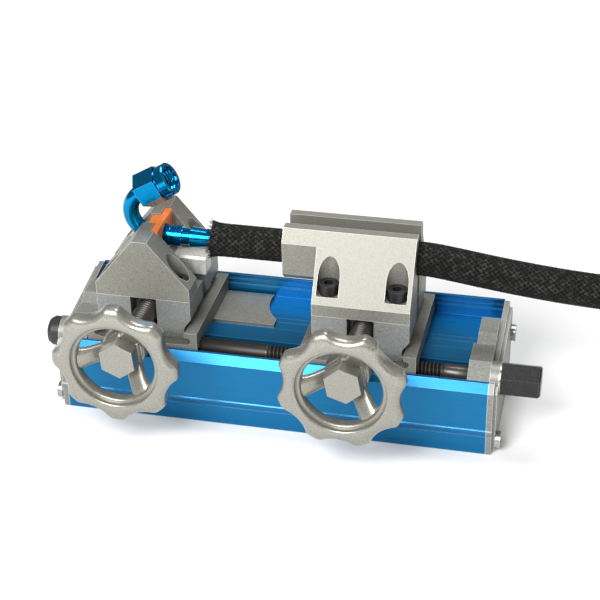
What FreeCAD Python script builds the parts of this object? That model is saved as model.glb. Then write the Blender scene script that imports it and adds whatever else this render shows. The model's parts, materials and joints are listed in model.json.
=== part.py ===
"""Screw-driven hose press: two screw vises on one extruded base.

X runs along the base (the hose lies along X), Y points away from the operator, Z is up.
The origin is on the underside, below the hose axis and midway between the end plates.
"""
import FreeCAD, Part
import math
import os
import re
import Sketcher
from FreeCAD import Placement, Rotation, Vector

DIMENSIONS = {
    # Base extrusion, distances in Y from the hose plane and in Z from the underside
    "base_half": 113.0,
    "base_front": 38.8,
    "base_back": 33.6,
    "base_top": 41.4,
    "edge_run": 3.8,
    "edge_drop": 4.0,
    "bead_height": 14.2,
    "bead_proud": 0.4,
    "skirt_inset": 0.6,
    "skirt_height": 11.0,
    "line_depth": 0.4,
    "trough_front": 33.3,
    "trough_back": 17.2,
    "trough_deep": 11.4,
    "land_back": 4.5,
    "floor_drop": 1.9,
    "floor_line_near": 5.2,
    "floor_line_far": 9.3,
    "wall_inner": 32.0,
    "wall_rise": 9.8,
    "rib_rise": 5.1,
    "rib_pitch": 3.2,
    "skin": 3.0,
    "chamber_front_back": 15.0,
    "web_front": 12.0,
    "web_near": 8.0,
    "web_far": 11.0,
    # Screw ports of the extrusion and the button heads in them
    "port_round": 4.5,
    "port_hole": 2.55,
    "port_depth": 15.0,
    "port_low": 6.4,
    "port_front": 32.6,
    "port_back": 28.6,
    "port_middle": 13.5,
    "port_middle_drop": 4.0,
    "port_rear": 28.0,
    "port_rear_drop": 5.5,
    "button_round": 4.5,
    "button_high": 2.6,
    "button_shaft": 2.5,
    "button_long": 16.0,
    "button_key": 3.0,
    # End plates
    "plate_thick": 2.9,
    "pad_proud": 1.7,
    "pad_inset": 2.0,
    "plate_corner": 2.5,
    "plug_long": 11.4,
    "lobe_long": 9.6,
    "lobe_shoulder": 24.0,
    "lobe_rise": 6.1,
    "lobe_step": 7.7,
    "lobe_ramp_end": 2.0,
    "lobe_back": 12.9,
    # Lead screw along X
    "lead_y": 25.2,
    "lead_drop": 2.2,
    "lead_round": 4.76,
    "running_gap": 0.05,
    "washer_thick": 0.8,
    "washer_round": 8.5,
    "drive_flats": 15.9,
    "drive_long": 20.1,
    "cap_round": 7.95,
    "cap_long": 6.9,
    "nut_half": 10.0,
    "nut_clear": 1.0,
    # The two vises, places along X
    "left_setback": 42.7,
    "right_setback": 67.6,
    "slide_gap": 0.1,
    "fit_gap": 0.3,
    # Carriages
    "rail_outer": 30.0,
    "rail_inner": 23.65,
    "deck_thick": 2.6,
    "rail_rise": 7.2,
    "foot_half": 22.0,
    "carriage_front": 33.6,
    "groove_round": 2.0,
    "groove_x": 24.5,
    "groove_rise": 2.4,
    "lead_slot": 5.0,
    "track_gap": 22.4,
    "track_front": 0.9,
    "track_back": 30.0,
    "track_scoop": 27.3,
    "track_scoop_past": 19.6,
    "track_scoop_y": 24.0,
    # Keepers and vise screws
    "screw_rise": 12.0,
    "screw_round": 6.0,
    "neck_round": 4.5,
    "keeper_half": 2.5,
    "keeper_wide": 8.0,
    "keeper_above": 8.0,
    "screw_front": 62.0,
    "screw_back": 28.0,
    # Jaw blocks
    "jaw_half": 25.4,
    "jaw_far": 27.5,
    "left_near": 3.5,
    "right_near": 3.9,
    "seam_rise": 10.5,
    "block_shoulder": 4.6,
    "block_neck": 21.6,
    "block_sink": 0.6,
    "tongue_round": 1.8,
    "tongue_web": 1.2,
    "back_foot": 19.2,
    "slot_half": 7.1,
    "slot_deep": 10.0,
    "slot_sink": 2.3,
    # Socket head screws that hold the jaws
    "bolt_x": 17.7,
    "bolt_y": 20.05,
    "bolt_round": 3.0,
    "bolt_hole": 3.1,
    "bolt_grip": 6.5,
    "bolt_head": 5.0,
    "bolt_head_high": 6.0,
    "bolt_key": 5.0,
    "counterbore": 5.75,
    "bolt_cover": 10.2,
    # Left jaws, house shaped from the front
    "hose_rise": 23.8,
    "eave_rise": 7.0,
    "ridge_half": 4.15,
    "ridge_rise": 26.0,
    "stem_bore": 5.9,
    "channel_end": -3.2,
    "mouth_round": 12.7,
    "mouth_start": 7.8,
    # Orange inserts and the hose rest
    "insert_gap": 0.4,
    "insert_left": -2.7,
    "insert_stem_left": 0.1,
    "insert_stem_right": 4.1,
    "insert_reach": 13.9,
    "insert_below": 9.3,
    "insert_above": 8.6,
    "insert_bore": 4.8,
    "insert_thick": 3.0,
    "rest_left": 9.3,
    "rest_right": 26.7,
    "rest_back": 10.0,
    "rest_rise": 1.5,
    "rest_tall": 10.0,
    "rest_bevel": 1.2,
    # Right jaws, wedge shaped from the end
    "wedge_eave_rise": 6.6,
    "wedge_above": 15.1,
    "wedge_ridge_y": 7.9,
    "wedge_bore": 9.15,
    "wing_left": -43.9,
    "wing_front": 12.2,
    "wing_below": 13.8,
    "wing_bevel_y": 8.5,
    "wing_bevel_rise": 3.9,
    # Handwheels
    "wheel_front": 78.5,
    "wheel_round": 33.2,
    "valley_round": 16.0,
    "valley_centre": 45.2,
    "wheel_open": 20.6,
    "rim_deep": 12.0,
    "spoke_half": 3.75,
    "spoke_rim_front": 5.5,
    "spoke_rim_back": 10.5,
    "spoke_hub_front": 14.0,
    "spoke_hub_back": 19.5,
    "hub_round": 11.5,
    "hub_front": 18.0,
    "hub_back": 24.0,
    "wheel_flats": 17.5,
    "hex_front": 6.0,
    "hex_turn": -26.0,
    "wheel_turn_left": 91.5,
    "wheel_turn_right": -23.0,
    # Hose fitting
    "tube_round": 4.25,
    "tube_start": 0.3,
    "bend_round": 12.9,
    "bend_turn": 150.0,
    "collar_round": 5.6,
    "collar_start": 3.7,
    "collar_end": 8.8,
    "ring_start": 12.3,
    "ring_end": 15.3,
    "barb_round": 5.65,
    "barb_start": 19.3,
    "barb_end": 28.6,
    "barb_low": 4.9,
    "tip_end": 34.3,
    "tip_bore": 3.2,
    "nose_long": 9.6,
    # Swivel nut, distances along its own axis
    "nut_start": 1.0,
    "nut_hex_end": 13.5,
    "nut_end": 19.5,
    "nut_flats": 17.5,
    "nut_collar": 8.7,
    "nut_groove": 7.9,
    "nut_mouth": 6.7,
    "mouth_deep": 9.5,
    "stem_gap": 0.08,
    # Hose
    "hose_round": 8.85,
    "hose_bore": 5.8,
    "hose_start": 31.2,
}

# Heights from the underside and places along X that follow from the sizes above
DERIVED = {
    "trough_floor": "base_top - trough_deep",
    "floor_height": "base_top - floor_drop",
    "wall_top": "base_top + wall_rise",
    "rib_low": "floor_height + rib_rise",
    "rib_high": "rib_low + rib_pitch",
    "port_middle_height": "trough_floor - port_middle_drop",
    "port_rear_height": "floor_height - port_rear_drop",
    "lobe_height": "base_top + lobe_rise",
    "lead_z": "base_top - lead_drop",
    "nut_bottom": "trough_floor + nut_clear",
    "vise_left": "left_setback - base_half",
    "vise_right": "base_half - right_setback",
    "deck_height": "base_top + deck_thick",
    "rail_top": "deck_height + rail_rise",
    "groove_z": "deck_height + groove_rise",
    "track_end": "vise_right - rail_outer - track_gap",
    "screw_z": "deck_height + screw_rise",
    "keeper_top": "screw_z + keeper_above",
    "seam_z": "screw_z + seam_rise",
    "block_low": "rail_top + block_shoulder",
    "block_under": "rail_top - block_sink",
    "slot_floor": "rail_top - slot_sink",
    "tongue_bottom": "deck_height + fit_gap",
    "bolt_end": "seam_z - bolt_grip",
    "bolt_seat": "seam_z + bolt_cover",
    "hose_z": "seam_z + hose_rise",
    "eave_z": "seam_z + eave_rise",
    "ridge_z": "eave_z + ridge_rise",
    "insert_low": "hose_z - insert_below",
    "insert_high": "hose_z + insert_above",
    "rest_low": "seam_z + rest_rise",
    "rest_high": "rest_low + rest_tall",
    "wedge_eave": "seam_z + wedge_eave_rise",
    "wedge_ridge": "hose_z + wedge_above",
    "wing_low": "hose_z - wing_below",
    "wing_bevel_z": "wing_low + wing_bevel_rise",
    "hose_cut": "vise_left + hose_start - vise_right",
}

doc = FreeCAD.newDocument("HosePress")
sheet = doc.addObject("Spreadsheet::Sheet", "Sizes")
for row, (alias, number) in enumerate(DIMENSIONS.items(), 1):
    sheet.set("A%d" % row, alias)
    sheet.set("B%d" % row, str(number))
    sheet.setAlias("B%d" % row, alias)
doc.recompute()

ALIAS = re.compile(r"\b(%s)\b" % "|".join(DIMENSIONS))
DERIVED_NAME = re.compile(r"\b(%s)\b" % "|".join(DERIVED))
nodes = []


def formula(text):
    """Write derived names out in full, then point every alias at the sheet."""
    while DERIVED_NAME.search(text):
        text = DERIVED_NAME.sub(lambda found: "(%s)" % DERIVED[found.group(1)], text)
    return ALIAS.sub(r"Sizes.\1", text)


def value(text):
    return float(sheet.evalExpression(formula(text)))


def body(name, x="0", y="0", z="0", turn="0"):
    """Start a sub-part; turn is seen from the front, counter-clockwise."""
    made = doc.addObject("PartDesign::Body", name)
    made.Label = name
    made.AllowCompound = True
    if turn != "0":
        made.Placement = Placement(Vector(), Rotation(Vector(0, -1, 0), value(turn)))
        made.setExpression("Placement.Rotation.Angle", formula(turn))
    for axis, text in zip("xyz", (x, y, z)):
        made.setExpression("Placement.Base." + axis, formula(text))
    nodes.append(made)
    return made


def origin_feature(owner, role):
    return next(feature for feature in owner.Origin.OriginFeatures if feature.Role == role)


def arc_between(start, end, radius, centre_left):
    """The shorter arc, with its centre left or right of the way from start to end."""
    half = (end - start) * 0.5
    reach = math.sqrt(radius ** 2 - half.Length ** 2)
    side = Vector(-half.y, half.x, 0).normalize() * (reach if centre_left else -reach)
    centre = start + half + side
    angles = [math.atan2(point.y - centre.y, point.x - centre.x) for point in (start, end)]
    if not centre_left:
        angles.reverse()
    return Part.ArcOfCircle(Part.Circle(centre, Vector(0, 0, 1), radius), *angles)


def pin_point(made, geometry, point, place):
    """Tie a point of the sketch to expressions for its two coordinates."""
    for kind, text in zip(("DistanceX", "DistanceY"), place):
        index = made.addConstraint(Sketcher.Constraint(kind, -1, 1, geometry, point, value(text)))
        made.setExpression("Constraints[%d]" % index, formula(text))


def pin_radius(made, geometry, text):
    index = made.addConstraint(Sketcher.Constraint("Radius", geometry, value(text)))
    made.setExpression("Constraints[%d]" % index, formula(text))


def draw_circle(made, x, y, radius):
    centre = Vector(value(x), value(y), 0)
    index = made.addGeometry(Part.Circle(centre, Vector(0, 0, 1), value(radius)), False)
    pin_point(made, index, 3, (x, y))
    pin_radius(made, index, radius)


def draw_path(made, points, closed=True):
    """Lines from point to point; a point with a radius and a side starts an arc instead."""
    first = made.GeometryCount
    places = [Vector(value(point[0]), value(point[1]), 0) for point in points]
    count = len(points) if closed else len(points) - 1
    ends = []
    for number in range(count):
        start = places[number]
        end = places[(number + 1) % len(places)]
        if len(points[number]) == 2:
            made.addGeometry(Part.LineSegment(start, end), False)
            ends.append((1, 2))
        else:
            centre_left = points[number][3] == "left"
            made.addGeometry(arc_between(start, end, value(points[number][2]), centre_left), False)
            ends.append((1, 2) if centre_left else (2, 1))
    for number in range(count if closed else count - 1):
        following = (number + 1) % count
        made.addConstraint(Sketcher.Constraint(
            "Coincident", first + number, ends[number][1], first + following, ends[following][0]))
    for number in range(count):
        pin_point(made, first + number, ends[number][0], points[number][:2])
        if len(points[number]) > 2:
            pin_radius(made, first + number, points[number][2])
    if not closed:
        pin_point(made, first + count - 1, ends[-1][1], points[-1][:2])


def sketch(owner, role, loops, offset="0", closed=True):
    """A loop is a list of points, or a circle as (x, y, radius)."""
    made = owner.newObject("Sketcher::SketchObject", owner.Label + "_outline")
    made.AttachmentSupport = [(origin_feature(owner, role), "")]
    made.MapMode = "FlatFace"
    made.setExpression("AttachmentOffset.Base.z", formula(offset))
    for loop in loops:
        if isinstance(loop, tuple):
            draw_circle(made, *loop)
        else:
            draw_path(made, loop, closed)
    return made


def extrude(owner, plane, loops, low, high, cut=False):
    """Pad or pocket the loops from low to high along the world axis across the plane."""
    if plane == "XZ":
        offset = "-(%s)" % (low if cut else high)
    else:
        offset = high if cut else low
    kind = "Pocket" if cut else "Pad"
    feature = owner.newObject("PartDesign::" + kind, owner.Label + "_" + kind)
    feature.Profile = sketch(owner, plane + "_Plane", loops, offset)
    feature.setExpression("Length", formula("(%s) - (%s)" % (high, low)))
    owner.Tip = feature
    return feature


def cut(owner, plane, loops, low, high):
    return extrude(owner, plane, loops, low, high, True)


def revolve(owner, plane, points, groove=False):
    """Turn an outline of (place along the axis, radius) round the plane's first axis."""
    kind = "Groove" if groove else "Revolution"
    feature = owner.newObject("PartDesign::" + kind, owner.Label + "_" + kind)
    profile = sketch(owner, plane + "_Plane", [points])
    feature.Profile = profile
    feature.ReferenceAxis = (profile, ["H_Axis"])
    feature.Angle = 360
    owner.Tip = feature
    return feature


def rectangle(x_low, y_low, x_high, y_high):
    return [(x_low, y_low), (x_high, y_low), (x_high, y_high), (x_low, y_high)]


def hexagon(x, y, flats, first_corner):
    """Six corners, the first at an angle from the sketch's first axis."""
    corner = "(%s) / sqrt(3)" % flats
    return [("%s + %s * cos(%s + %d)" % (x, corner, first_corner, 60 * number),
             "%s + %s * sin(%s + %d)" % (y, corner, first_corner, 60 * number))
            for number in range(6)]


def rod(points):
    """Close an outline of (place, radius) points down to its axis."""
    return [(points[0][0], "0")] + points + [(points[-1][0], "0")]


def span(side, near, far):
    """The range from near to far on the front (-1) or back (+1) side of the hose plane."""
    return (near, far) if side > 0 else ("-(%s)" % far, "-(%s)" % near)


def both(text):
    return ("-(%s)" % text, text)


def signed(side, text):
    return text if side > 0 else "-(%s)" % text


def front_edge():
    """The front of the base section, from the underside up to the top of the front edge."""
    return [("-(base_front - skirt_inset)", "0"),
            ("-(base_front - skirt_inset)", "skirt_height"),
            ("-(base_front + bead_proud)", "bead_height - bead_proud"),
            ("-(base_front + bead_proud)", "bead_height + bead_proud"),
            ("-base_front", "bead_height + 2 * bead_proud"),
            ("-base_front", "base_top - edge_drop"),
            ("-(base_front - edge_run)", "base_top")]


def floor_line(place):
    return [(place, "floor_height"), (place, "floor_height - line_depth"),
            (place + " + line_depth", "floor_height - line_depth"),
            (place + " + line_depth", "floor_height")]


def wall_rib(height):
    return [("wall_inner", height), ("wall_inner - line_depth", height + " + line_depth"),
            ("wall_inner - line_depth", height + " + 2 * line_depth"),
            ("wall_inner", height + " + 3 * line_depth")]


def port_places():
    return [("-port_front", "port_low"), ("port_back", "port_low"),
            ("-port_middle", "port_middle_height"), ("port_rear", "port_rear_height")]


def base_rail():
    rail = body("base_rail")
    top = [("-trough_front", "base_top"), ("-trough_front", "trough_floor"),
           ("-trough_back", "trough_floor"), ("-trough_back", "base_top"),
           ("-land_back", "base_top"), ("-land_back", "floor_height")]
    top += floor_line("floor_line_near") + floor_line("floor_line_far")
    top += [("wall_inner", "floor_height")] + wall_rib("rib_low") + wall_rib("rib_high")
    top += [("wall_inner", "wall_top"), ("base_back", "wall_top"), ("base_back", "0")]
    extrude(rail, "YZ", [front_edge() + top], "-base_half", "base_half")
    chamber_top = "floor_height - skin"
    chambers = [
        rectangle("-(base_front - skirt_inset - skin)", "skin", "-chamber_front_back", "trough_floor - skin"),
        rectangle("-web_front", "skin", "web_near", chamber_top),
        rectangle("web_far", "skin", "base_back - skin", chamber_top)]
    cut(rail, "YZ", chambers, "-base_half", "base_half")
    ports = [place + ("port_round",) for place in port_places()]
    extrude(rail, "YZ", ports, "-base_half", "base_half")
    holes = [place + ("port_hole",) for place in port_places()]
    cut(rail, "YZ", holes, "base_half - port_depth", "base_half")
    cut(rail, "YZ", holes, "-base_half", "-base_half + port_depth")
    score = rectangle("-(base_front - skirt_inset)", "skirt_height - line_depth",
                      "-(base_front - skirt_inset - line_depth)", "skirt_height")
    cut(rail, "YZ", [score], "-base_half", "base_half")


PLATE_FACE = "base_half + plate_thick"
PAD_FACE = "base_half + plate_thick + pad_proud"


def end_plate_right():
    plate = body("end_plate_right")
    outline = front_edge() + [
        ("base_back - plate_corner", "wall_top", "plate_corner", "right"),
        ("base_back", "wall_top - plate_corner"), ("base_back", "0")]
    extrude(plate, "YZ", [outline], "base_half", PLATE_FACE)
    pad = [("-(base_front - skirt_inset - pad_inset)", "pad_inset"),
           ("-(base_front - pad_inset)", "bead_height"),
           ("-(base_front - pad_inset)", "base_top - edge_drop - pad_inset / 2"),
           ("-(base_front - edge_run - pad_inset / 2)", "base_top - pad_inset"),
           ("base_back - pad_inset - plate_corner", "wall_top - pad_inset"),
           ("base_back - pad_inset", "wall_top - pad_inset - plate_corner"),
           ("base_back - pad_inset", "pad_inset")]
    extrude(plate, "YZ", [pad], PLATE_FACE, PAD_FACE)
    extrude(plate, "YZ", [("-lead_y", "lead_z", "washer_round")], "base_half", PAD_FACE)
    plug = [("-(trough_front - fit_gap)", "nut_bottom"), ("-(trough_front - fit_gap)", "base_top"),
            ("-lobe_shoulder", "lobe_height"), ("-lobe_step", "lobe_height"),
            ("-lobe_step", "base_top"), ("-(trough_back + fit_gap)", "base_top"),
            ("-(trough_back + fit_gap)", "nut_bottom")]
    extrude(plate, "YZ", [plug], "base_half - plug_long", "base_half")
    lobe = [("-lobe_step", "base_top"), ("-lobe_step", "lobe_height"),
            ("-lobe_ramp_end", "wall_top"), ("lobe_back", "wall_top"),
            ("lobe_back", "floor_height"), ("-land_back", "floor_height"),
            ("-land_back", "base_top")]
    extrude(plate, "YZ", [lobe], "base_half - lobe_long", "base_half")
    cut(plate, "YZ", [("-lead_y", "lead_z", "lead_round + running_gap")], "base_half - plug_long", PAD_FACE)
    holes = [place + ("port_hole",) for place in port_places()]
    cut(plate, "YZ", holes, "base_half", PAD_FACE)
    return plate


def plate_screws_right():
    screws = body("end_plate_screws_right")
    heads = [place + ("button_round",) for place in port_places()]
    shafts = [place + ("button_shaft",) for place in port_places()]
    keys = [hexagon(place[0], place[1], "button_key", "0") for place in port_places()]
    extrude(screws, "YZ", heads, PAD_FACE, PAD_FACE + " + button_high")
    extrude(screws, "YZ", shafts, PAD_FACE + " - button_long", PAD_FACE)
    cut(screws, "YZ", keys, PAD_FACE + " + button_high / 2", PAD_FACE + " + button_high")
    return screws


def washer_right():
    washer = body("thrust_washer_right", y="-lead_y", z="lead_z")
    ring = [("0", "0", "washer_round"), ("0", "0", "lead_round + 3 * running_gap")]
    extrude(washer, "YZ", ring, PAD_FACE, PAD_FACE + " + washer_thick")
    return washer


def mirrored(source, name, normal):
    """The opposite-hand copy of a sub-part, across the plane through the origin."""
    made = doc.addObject("Part::Mirroring", name)
    made.Label = name
    made.Source = source
    made.Normal = normal
    nodes.append(made)


def lead_screw():
    screw = body("lead_screw", y="-lead_y", z="lead_z")
    end = PAD_FACE + " + washer_thick"
    revolve(screw, "XZ", rod([("-(%s)" % end, "lead_round"), (end, "lead_round")]))
    tip = end + " + drive_long"
    extrude(screw, "YZ", [hexagon("0", "0", "drive_flats", "90")], end, tip)
    bevel = [(tip, "drive_flats / 2"), (tip, "drive_flats"),
             (tip + " - drive_flats / 3", "drive_flats")]
    revolve(screw, "XZ", bevel, True)


def lead_screw_cap():
    cap = body("lead_screw_cap", "-(%s + washer_thick)" % PAD_FACE, "-lead_y", "lead_z")
    revolve(cap, "XZ", rod([("0", "cap_round"), ("-cap_long * 0.55", "cap_round"),
                            ("-cap_long * 0.85", "cap_round * 0.85"),
                            ("-cap_long", "cap_round * 0.55")]))


def carriage(name, place, deck_bottom, foot_bottom):
    slide = body(name, place)
    section = [("-rail_outer", deck_bottom), ("rail_outer", deck_bottom),
               ("rail_outer", "rail_top"), ("rail_inner", "rail_top"),
               ("rail_inner", "deck_height"), ("-rail_inner", "deck_height"),
               ("-rail_inner", "rail_top"), ("-rail_outer", "rail_top")]
    back = "wall_inner - line_depth - fit_gap"
    extrude(slide, "XZ", [section], "-carriage_front", back)
    grooves = [(x, "groove_z", "groove_round") for x in both("groove_x")]
    cut(slide, "XZ", grooves, "-carriage_front", back)
    foot = rectangle("-foot_half", "-(land_back - fit_gap)", "foot_half", back + " - line_depth")
    extrude(slide, "XY", [foot], foot_bottom, deck_bottom)
    if name == "carriage_left":
        track = rectangle("foot_half / 2", "-track_front", "track_end - vise_left", "track_back")
        extrude(slide, "XY", [track], foot_bottom, deck_bottom)
        scoop = ("track_end + track_scoop_past - vise_left", "track_scoop_y", "track_scoop")
        cut(slide, "XY", [scoop], foot_bottom, deck_bottom)
    cut(slide, "YZ", [("-lead_y", "lead_z", "lead_slot")], "-rail_outer", "rail_outer")


def lead_nut():
    nut = body("lead_nut", "vise_right")
    block = rectangle("-(trough_front - fit_gap)", "nut_bottom",
                      "-(trough_back + fit_gap)", "base_top + slide_gap")
    extrude(nut, "YZ", [block], "-nut_half", "nut_half")
    cut(nut, "YZ", [("-lead_y", "lead_z", "lead_round + running_gap")], "-nut_half", "nut_half")


def screw_keeper(name, place):
    keeper = body(name, place)
    plate = rectangle("-keeper_wide", "deck_height", "keeper_wide", "keeper_top")
    extrude(keeper, "XZ", [plate], "-keeper_half", "keeper_half")
    gap = "neck_round + running_gap"
    cut(keeper, "XZ", [("0", "screw_z", gap)], "-keeper_half", "keeper_half")
    mouth = rectangle("-(%s)" % gap, "screw_z", gap, "keeper_top")
    cut(keeper, "XZ", [mouth], "-keeper_half", "keeper_half")


def jaw_base(name, place, side, near, foot):
    block = body(name, place)
    section = [("-block_neck", "block_under"), ("block_neck", "block_under"),
               ("jaw_half", "block_low"), ("jaw_half", "seam_z"),
               ("-jaw_half", "seam_z"), ("-jaw_half", "block_low")]
    extrude(block, "XZ", [section], *span(side, near, "jaw_far"))
    neck = rectangle("-block_neck", "tongue_bottom", "block_neck", "block_under")
    extrude(block, "XZ", [neck], *span(side, near, foot))
    web = rectangle("-groove_x", "groove_z - tongue_web", "groove_x", "groove_z + tongue_web")
    extrude(block, "XZ", [web], *span(side, near, foot))
    tongues = [(x, "groove_z", "tongue_round") for x in both("groove_x")]
    extrude(block, "XZ", tongues, *span(side, near, foot))
    slot = rectangle("-slot_half", "slot_floor", "slot_half", "seam_z")
    cut(block, "XZ", [slot], *span(side, "jaw_far - slot_deep", "jaw_far"))
    cut(block, "XZ", [("0", "screw_z", "screw_round + running_gap")], *span(side, near, "jaw_far"))
    holes = [(x, signed(side, "bolt_y"), "bolt_hole") for x in both("bolt_x")]
    cut(block, "XY", holes, "bolt_end - fit_gap", "seam_z")
    if side > 0:
        relief = rectangle("-jaw_half", "block_under", "jaw_half", "wall_top + fit_gap")
        cut(block, "XZ", [relief], foot, "jaw_far")


def jaw_left(name, side):
    jaw = body(name, "vise_left")
    house = [("-jaw_half", "seam_z"), ("jaw_half", "seam_z"), ("jaw_half", "eave_z"),
             ("ridge_half", "ridge_z"), ("-ridge_half", "ridge_z"), ("-jaw_half", "eave_z")]
    extrude(jaw, "XZ", [house], *span(side, "left_near", "jaw_far"))
    cut(jaw, "YZ", [("0", "hose_z", "stem_bore")], "-jaw_half", "jaw_half")
    channel = rectangle("-stem_bore", "hose_z", "stem_bore", "ridge_z")
    cut(jaw, "YZ", [channel], "-jaw_half", "channel_end")
    cut(jaw, "YZ", [("0", "hose_z", "mouth_round")], "mouth_start", "jaw_half")
    near, far = span(side, "0", "insert_reach + slide_gap")
    slot = rectangle("insert_stem_left - slide_gap", near, "insert_stem_right + slide_gap", far)
    cut(jaw, "XY", [slot], "insert_low - slide_gap", "ridge_z")
    if side > 0:
        seat = rectangle("rest_left", "0", "jaw_half", "rest_back")
        cut(jaw, "XY", [seat], "rest_low", "rest_high")
    bolt_seats(jaw, side, "ridge_z")


def bolt_seats(jaw, side, top):
    seats = [(x, signed(side, "bolt_y"), "counterbore") for x in both("bolt_x")]
    cut(jaw, "XY", seats, "bolt_seat", top)
    holes = [(x, signed(side, "bolt_y"), "bolt_hole") for x in both("bolt_x")]
    cut(jaw, "XY", holes, "seam_z", "bolt_seat")


def insert(name, side):
    die = body(name, "vise_left")
    near, far = span(side, "insert_gap", "insert_gap + insert_thick")
    head = rectangle("insert_left", near, "mouth_start", far)
    extrude(die, "XY", [head], "insert_low", "insert_high")
    near, far = span(side, "insert_gap", "insert_reach")
    stem = rectangle("insert_stem_left", near, "insert_stem_right", far)
    extrude(die, "XY", [stem], "insert_low", "insert_high")
    cut(die, "YZ", [("0", "hose_z", "insert_bore")], "insert_left", "mouth_start")
    cut(die, "YZ", [("0", "hose_z", "stem_bore")], "collar_start - slide_gap", "mouth_start")


def hose_rest():
    rest = body("hose_rest", "vise_left")
    section = [("0", "rest_low"), ("rest_back", "rest_low"), ("rest_back", "rest_high"),
               ("rest_bevel", "rest_high"), ("0", "rest_high - rest_bevel")]
    extrude(rest, "YZ", [section], "rest_left", "rest_right")


def jaw_right_front():
    jaw = body("jaw_right_front", "vise_right")
    wedge = [("-jaw_far", "seam_z"), ("-right_near", "seam_z"), ("-right_near", "wedge_ridge"),
             ("-wedge_ridge_y", "wedge_ridge"), ("-jaw_far", "wedge_eave")]
    extrude(jaw, "YZ", [wedge], "-jaw_half", "jaw_half")
    slope = "(wedge_ridge - wedge_eave) / (jaw_far - wedge_ridge_y)"
    wing = [("-right_near", "wing_low"), ("-right_near", "wedge_ridge"),
            ("-wedge_ridge_y", "wedge_ridge"),
            ("-wing_front", "wedge_ridge - (wing_front - wedge_ridge_y) * " + slope),
            ("-wing_front", "wing_bevel_z"), ("-wing_bevel_y", "wing_low")]
    extrude(jaw, "YZ", [wing], "wing_left", "-jaw_half")
    cut(jaw, "YZ", [("0", "hose_z", "wedge_bore")], "wing_left", "jaw_half")
    bolt_seats(jaw, -1, "wedge_ridge")
    mouths = [rectangle(x + " - counterbore", "-jaw_far", x + " + counterbore", "-bolt_y")
              for x in both("bolt_x")]
    cut(jaw, "XY", mouths, "bolt_seat", "wedge_ridge")
    return jaw


def jaw_screws(name, place, side):
    screws = body(name, place)
    places = [(x, signed(side, "bolt_y")) for x in both("bolt_x")]
    top = "bolt_seat + bolt_head_high"
    extrude(screws, "XY", [spot + ("bolt_head",) for spot in places], "bolt_seat", top)
    extrude(screws, "XY", [spot + ("bolt_round",) for spot in places], "bolt_end", "bolt_seat")
    keys = [hexagon(spot[0], spot[1], "bolt_key", "0") for spot in places]
    cut(screws, "XY", keys, "bolt_seat + bolt_head_high / 2", top)


def vise_screw(name, place):
    screw = body(name, place, z="screw_z")
    side = "keeper_half + slide_gap"
    revolve(screw, "YZ", rod([
        ("-screw_front", "screw_round"), ("-(%s)" % side, "screw_round"),
        ("-(%s)" % side, "neck_round"), (side, "neck_round"), (side, "screw_round"),
        ("screw_back - 1", "screw_round"), ("screw_back", "screw_round - 1")]))


def at_depth(depth, radius):
    """A point of the wheel's outline, at a depth behind its front plane."""
    return ("%s - wheel_front" % depth, radius)


def handwheel(name, place, turn):
    wheel = body(name, place, z="screw_z", turn=turn)
    rim = [at_depth("0.25 * rim_deep", "wheel_open"), at_depth("0.1 * rim_deep", "wheel_open + 1"),
           at_depth("0.13 * rim_deep", "wheel_open + 2"), at_depth("0", "wheel_open + 3.9"),
           at_depth("0", "wheel_round - 4.7"), at_depth("0.13 * rim_deep", "wheel_round - 1.7"),
           at_depth("0.38 * rim_deep", "wheel_round"), at_depth("0.7 * rim_deep", "wheel_round"),
           at_depth("0.95 * rim_deep", "wheel_round - 2.2"), at_depth("rim_deep", "wheel_round - 7"),
           at_depth("0.92 * rim_deep", "wheel_open + 1.4"), at_depth("0.75 * rim_deep", "wheel_open")]
    revolve(wheel, "YZ", rim)
    valleys = [("valley_centre * cos(%s)" % angle, "valley_centre * sin(%s)" % angle, "valley_round")
               for angle in [22.5 + 45 * number for number in range(8)]]
    cut(wheel, "XZ", valleys, "-wheel_front", "rim_deep - wheel_front")
    arm = [at_depth("spoke_rim_front", "wheel_open + 2.4"), at_depth("spoke_rim_back", "wheel_open + 2.4"),
           at_depth("spoke_hub_back", "wheel_flats / 2 - 1"), at_depth("spoke_hub_front", "wheel_flats / 2 - 1")]
    hub = rod([at_depth("hub_front", "hub_round"), at_depth("hub_back", "hub_round")])
    spoke = extrude(wheel, "YZ", [arm], "-spoke_half", "spoke_half")
    spokes = wheel.newObject("PartDesign::PolarPattern", name + "_spokes")
    spokes.Originals = [spoke]
    spokes.Axis = (origin_feature(wheel, "Y_Axis"), [""])
    spokes.Angle = 360
    spokes.Occurrences = 3
    wheel.Tip = spokes
    revolve(wheel, "YZ", hub)
    drive = hexagon("0", "0", "wheel_flats", "90 + hex_turn")
    extrude(wheel, "XZ", [drive], "hex_front - wheel_front", "hub_front - wheel_front")
    cut(wheel, "XZ", [("0", "0", "screw_round + running_gap")], "-screw_front", "hub_back - wheel_front")


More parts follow.
